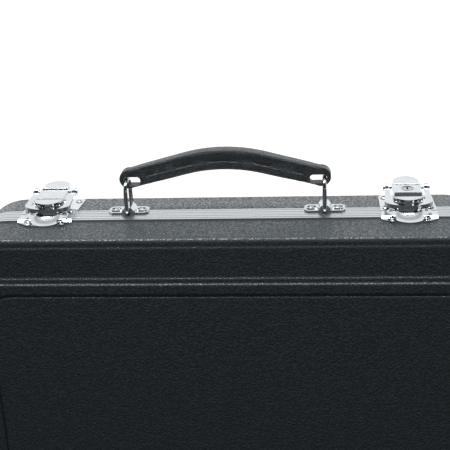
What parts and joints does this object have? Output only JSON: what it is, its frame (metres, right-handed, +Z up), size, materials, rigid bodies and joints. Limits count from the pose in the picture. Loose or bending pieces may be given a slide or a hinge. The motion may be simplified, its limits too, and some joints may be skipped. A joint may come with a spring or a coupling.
{
  "type": "clarinet case",
  "caption": "Moulded hard case for a clarinet: hinged lid, aluminium valance, over-centre draw latches, one with a key lock, ringed carrying handle and fitted interior.",
  "frame": {"origin": "centre of the resting panel under the base, on the surface the case lies on", "axes": "+Z up through the lid, +X along the case, -Y towards the latches and the handle, +Y towards the hinges"},
  "size_m": [0.3964, 0.3034, 0.093],
  "materials": {
    "abs": "black pebble-textured ABS",
    "valance": "bright satin, drawn lengthwise",
    "plush": "short black plush over foam",
    "chrome": "polished chrome plate",
    "steel": "nickel-plated",
    "grip": "black leather-grained plastic",
    "foot": "black, smooth"
  },
  "bodies": {
    "base": {"base_shell": "abs", "base_valance": "valance", "base_insert": "plush", "keyed_latch_base": "chrome", "plain_latch_base": "chrome", "keyed_lever_pin": "steel", "plain_lever_pin": "steel", "latch_base_rivets": "steel", "left_handle_bracket": "chrome", "right_handle_bracket": "chrome", "bracket_rivets": "steel", "left_hinge_base_leaf": "steel", "right_hinge_base_leaf": "steel", "left_hinge_pin": "steel", "right_hinge_pin": "steel", "hinge_base_rivets": "steel", "base_spine_feet": "foot", "base_foot_screws": "steel"},
    "lid": {"lid_shell": "abs", "lid_valance": "valance", "lid_lining": "plush", "lid_cushion": "plush", "keyed_keeper": "chrome", "plain_keeper": "chrome", "keeper_rivets": "steel", "left_hinge_lid_leaf": "steel", "right_hinge_lid_leaf": "steel", "hinge_lid_rivets": "steel", "lid_spine_feet": "foot", "lid_foot_screws": "steel"},
    "keyed_lever": {"keyed_lever": "chrome", "keyed_bail_pin": "steel", "lock_barrel": "steel"},
    "keyed_bail": {"keyed_bail": "chrome"},
    "lock": {"lock_plug": "steel"},
    "plain_lever": {"plain_lever": "chrome", "plain_bail_pin": "steel"},
    "plain_bail": {"plain_bail": "chrome"},
    "handle": {"handle": "grip"},
    "left_ring": {"left_handle_ring": "steel"},
    "right_ring": {"right_handle_ring": "steel"}
  },
  "joints": [
    {"name": "lid_hinge", "type": "hinge", "parent": "base", "child": "lid", "pos_m": [0, 0.12725, 0.0535], "axis": [-1, 0, 0], "range_deg": [0, 105]},
    {"name": "keyed_lever_hinge", "type": "hinge", "parent": "base", "child": "keyed_lever", "pos_m": [-0.1293, -0.1305, 0.0513], "axis": [-1, 0, 0], "range_deg": [0, 85]},
    {"name": "keyed_bail_swing", "type": "hinge", "parent": "keyed_lever", "child": "keyed_bail", "pos_m": [-0.1293, -0.1318, 0.025], "axis": [-1, 0, 0], "range_deg": [-98, 0]},
    {"name": "plain_lever_hinge", "type": "hinge", "parent": "base", "child": "plain_lever", "pos_m": [0.1293, -0.1305, 0.0513], "axis": [-1, 0, 0], "range_deg": [0, 85]},
    {"name": "plain_bail_swing", "type": "hinge", "parent": "plain_lever", "child": "plain_bail", "pos_m": [0.1293, -0.1318, 0.025], "axis": [-1, 0, 0], "range_deg": [-98, 0]},
    {"name": "lock_turn", "type": "hinge", "parent": "keyed_lever", "child": "lock", "pos_m": [-0.1293, -0.134, 0.037], "axis": [0, 1, 0], "range_deg": [0, 90]},
    {"name": "handle_swing", "type": "hinge", "parent": "base", "child": "handle", "pos_m": [0, -0.1392, 0.0463], "axis": [1, 0, 0], "range_deg": [-90, 90]},
    {"name": "left_ring_tilt", "type": "hinge", "parent": "base", "child": "left_ring", "pos_m": [-0.0706, -0.1262, 0.0463], "axis": [0, 0, 1], "range_deg": [0, 18]},
    {"name": "right_ring_tilt", "type": "hinge", "parent": "base", "child": "right_ring", "pos_m": [0.0706, -0.1262, 0.0463], "axis": [0, 0, -1], "range_deg": [0, 18]}
  ],
  "couplings": [
    {"joint": "keyed_bail_swing", "follows": "keyed_lever_hinge", "ratio": -1.15},
    {"joint": "plain_bail_swing", "follows": "plain_lever_hinge", "ratio": -1.15}
  ]
}
